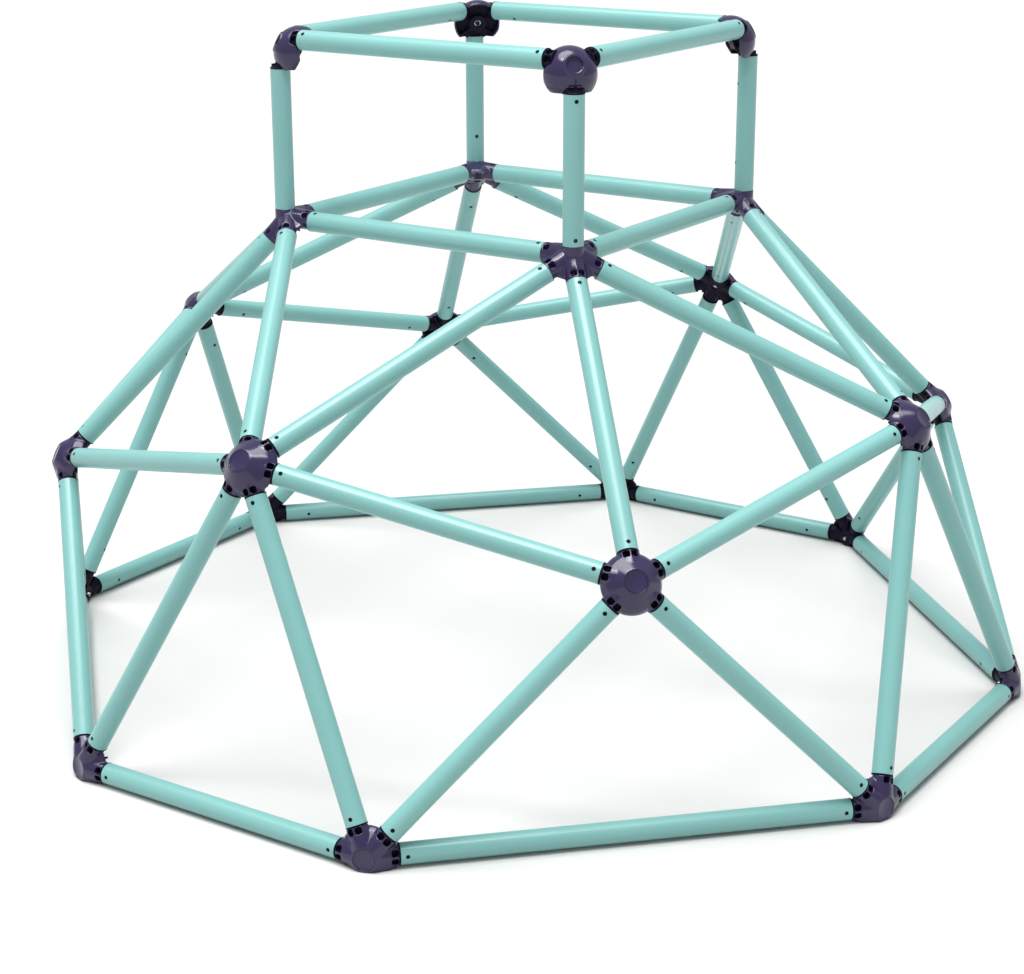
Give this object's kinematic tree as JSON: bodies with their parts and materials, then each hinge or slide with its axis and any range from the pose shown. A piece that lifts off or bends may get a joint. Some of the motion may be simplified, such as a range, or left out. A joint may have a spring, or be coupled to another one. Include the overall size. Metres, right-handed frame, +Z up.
{
  "type": "dome climber",
  "caption": "Climbing dome of straight tubes joined by moulded hubs, with triangular windows and a square frame raised on posts above the top ring",
  "frame": {"origin": "on the ground, under the middle of the dome", "axes": "+Z up; the four sides of the top frame run along X and Y, and the short sides of the base ring face +X, +Y, -X and -Y"},
  "size_m": [1.7982, 1.7982, 1.1839],
  "materials": {
    "hub_plastic": "gloss moulded plastic, dark indigo",
    "cap_plastic": "gloss moulded plastic, dark indigo",
    "tube_coat": "satin powder coat, mint green",
    "bolt_steel": "zinc plated",
    "screw_black": "black coated screws"
  },
  "bodies": {
    "root": {"base_hub_1": "hub_plastic", "base_hub_2": "hub_plastic", "base_hub_3": "hub_plastic", "base_hub_4": "hub_plastic", "base_hub_5": "hub_plastic", "base_hub_6": "hub_plastic", "base_hub_7": "hub_plastic", "base_hub_8": "hub_plastic", "middle_hub_1": "hub_plastic", "middle_hub_2": "hub_plastic", "middle_hub_3": "hub_plastic", "middle_hub_4": "hub_plastic", "middle_hub_5": "hub_plastic", "middle_hub_6": "hub_plastic", "middle_hub_7": "hub_plastic", "middle_hub_8": "hub_plastic", "upper_hub_1": "hub_plastic", "upper_hub_2": "hub_plastic", "upper_hub_3": "hub_plastic", "upper_hub_4": "hub_plastic", "top_hub_1": "hub_plastic", "top_hub_2": "hub_plastic", "top_hub_3": "hub_plastic", "top_hub_4": "hub_plastic", "base_caps": "cap_plastic", "middle_corner_caps": "cap_plastic", "middle_side_caps": "cap_plastic", "top_caps": "cap_plastic", "base_rail_1": "tube_coat", "base_rail_2": "tube_coat", "base_rail_3": "tube_coat", "base_rail_4": "tube_coat", "base_rail_5": "tube_coat", "base_rail_6": "tube_coat", "base_rail_7": "tube_coat", "base_rail_8": "tube_coat", "lower_struts_1": "tube_coat", "lower_struts_2": "tube_coat", "lower_struts_3": "tube_coat", "lower_struts_4": "tube_coat", "lower_struts_5": "tube_coat", "lower_struts_6": "tube_coat", "lower_struts_7": "tube_coat", "lower_struts_8": "tube_coat", "middle_rails_1": "tube_coat", "middle_rails_2": "tube_coat", "middle_rails_3": "tube_coat", "middle_rails_4": "tube_coat", "upper_struts_1": "tube_coat", "upper_struts_2": "tube_coat", "upper_struts_3": "tube_coat", "upper_struts_4": "tube_coat", "upper_rails": "tube_coat", "posts": "tube_coat", "top_rails": "tube_coat", "plugs": "cap_plastic", "centre_bolts": "bolt_steel", "centre_nuts": "bolt_steel", "tube_screws": "screw_black"}
  },
  "joints": []
}
